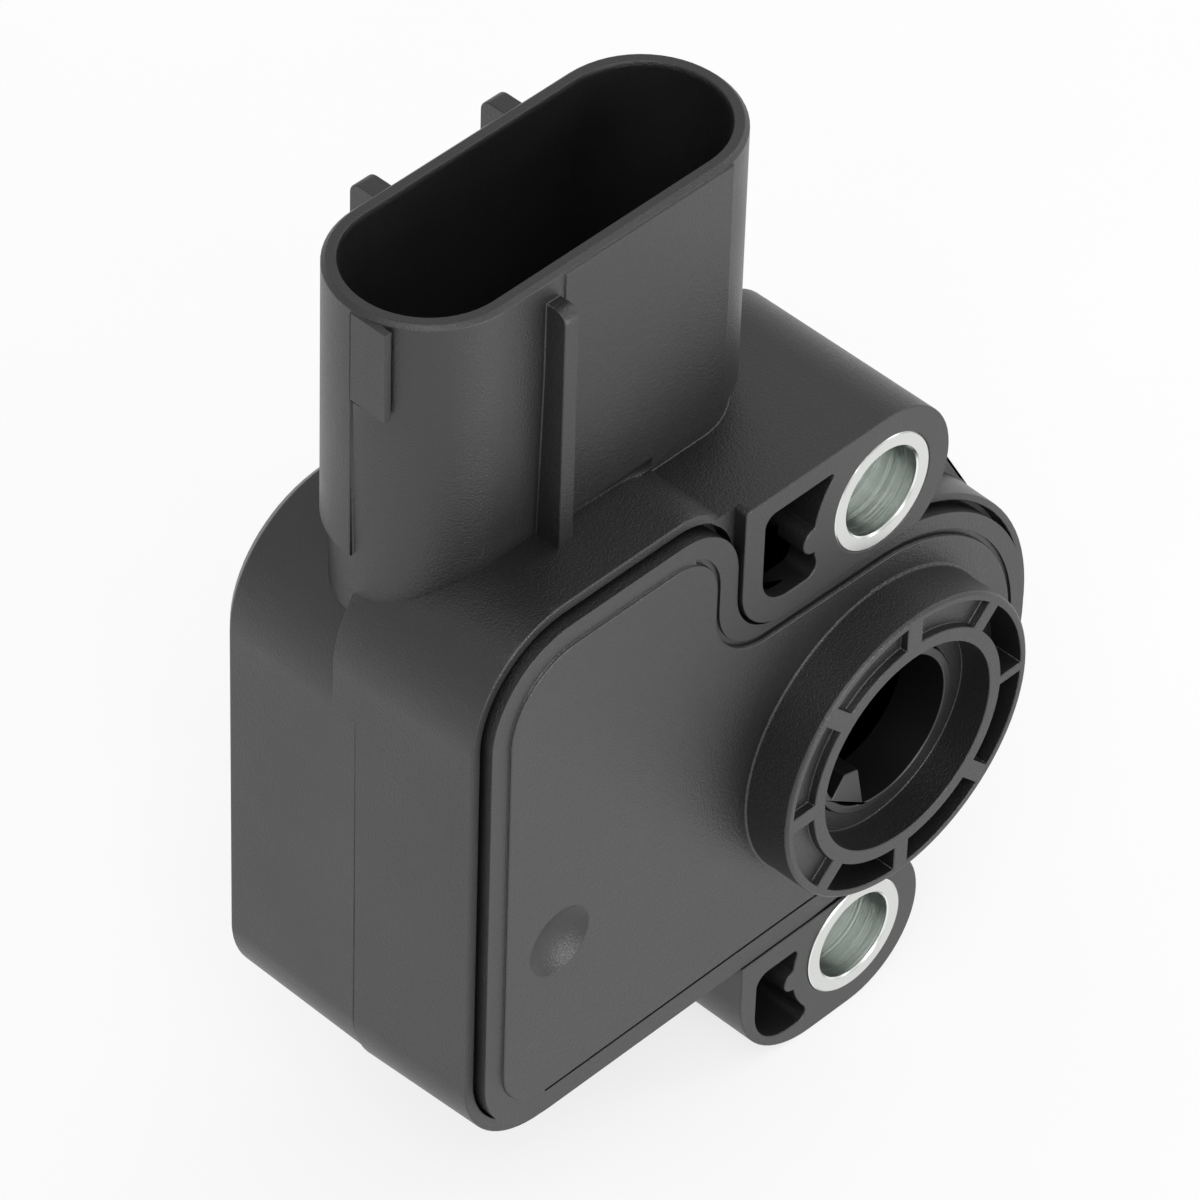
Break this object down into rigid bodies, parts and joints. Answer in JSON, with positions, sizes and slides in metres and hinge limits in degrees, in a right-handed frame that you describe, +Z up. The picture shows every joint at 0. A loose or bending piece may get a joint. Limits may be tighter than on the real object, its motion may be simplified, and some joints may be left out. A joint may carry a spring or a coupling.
{
  "type": "throttle position sensor",
  "caption": "Moulded rotary position sensor with a drive rotor in a round pilot, an upright oval plug socket and two bushed bolt ears.",
  "frame": {"origin": "point midway between the two bolt holes, on the drive axis, level with the bushings' front faces", "axes": "+Y runs along the drive axis from the mounting face back into the housing, +Z runs up toward the plug socket"},
  "size_m": [0.06, 0.0305, 0.0855],
  "materials": {
    "housing_plastic": "satin",
    "cover_plastic": "satin",
    "rotor_plastic": "satin",
    "washer_plastic": "matte",
    "sealant": "matte",
    "seal_rubber": "matte",
    "bushing_steel": "satin",
    "spring_steel": "satin",
    "bearing_bronze": "satin",
    "board_laminate": "matte",
    "carbon_ink": "matte",
    "silver_ink": "matte",
    "solder": "satin",
    "wiper_metal": "satin",
    "terminal_metal": "satin"
  },
  "bodies": {
    "case": {"housing": "housing_plastic", "cover": "cover_plastic", "cover_bead": "sealant", "upper_bushing": "bushing_steel", "lower_bushing": "bushing_steel", "shaft_seal": "seal_rubber", "rear_bush": "bearing_bronze", "thrust_washer": "washer_plastic", "return_spring": "spring_steel", "element_board": "board_laminate", "resistive_tracks": "carbon_ink", "board_leads": "silver_ink", "terminal_1": "terminal_metal", "terminal_2": "terminal_metal", "terminal_3": "terminal_metal", "terminal_4": "terminal_metal", "terminal_5": "terminal_metal", "terminal_6": "terminal_metal", "solder_joints": "solder"},
    "rotor": {"rotor": "rotor_plastic", "inner_wiper": "wiper_metal", "outer_wiper": "wiper_metal"}
  },
  "joints": [
    {"name": "rotor_turn", "type": "hinge", "parent": "case", "child": "rotor", "pos_m": [0, 0, 0], "axis": [0, -1, 0], "range_deg": [0, 100], "stiffness_Nm_per_rad": 0.03, "springref_deg": -34.38, "deforming": ["return_spring"]}
  ]
}
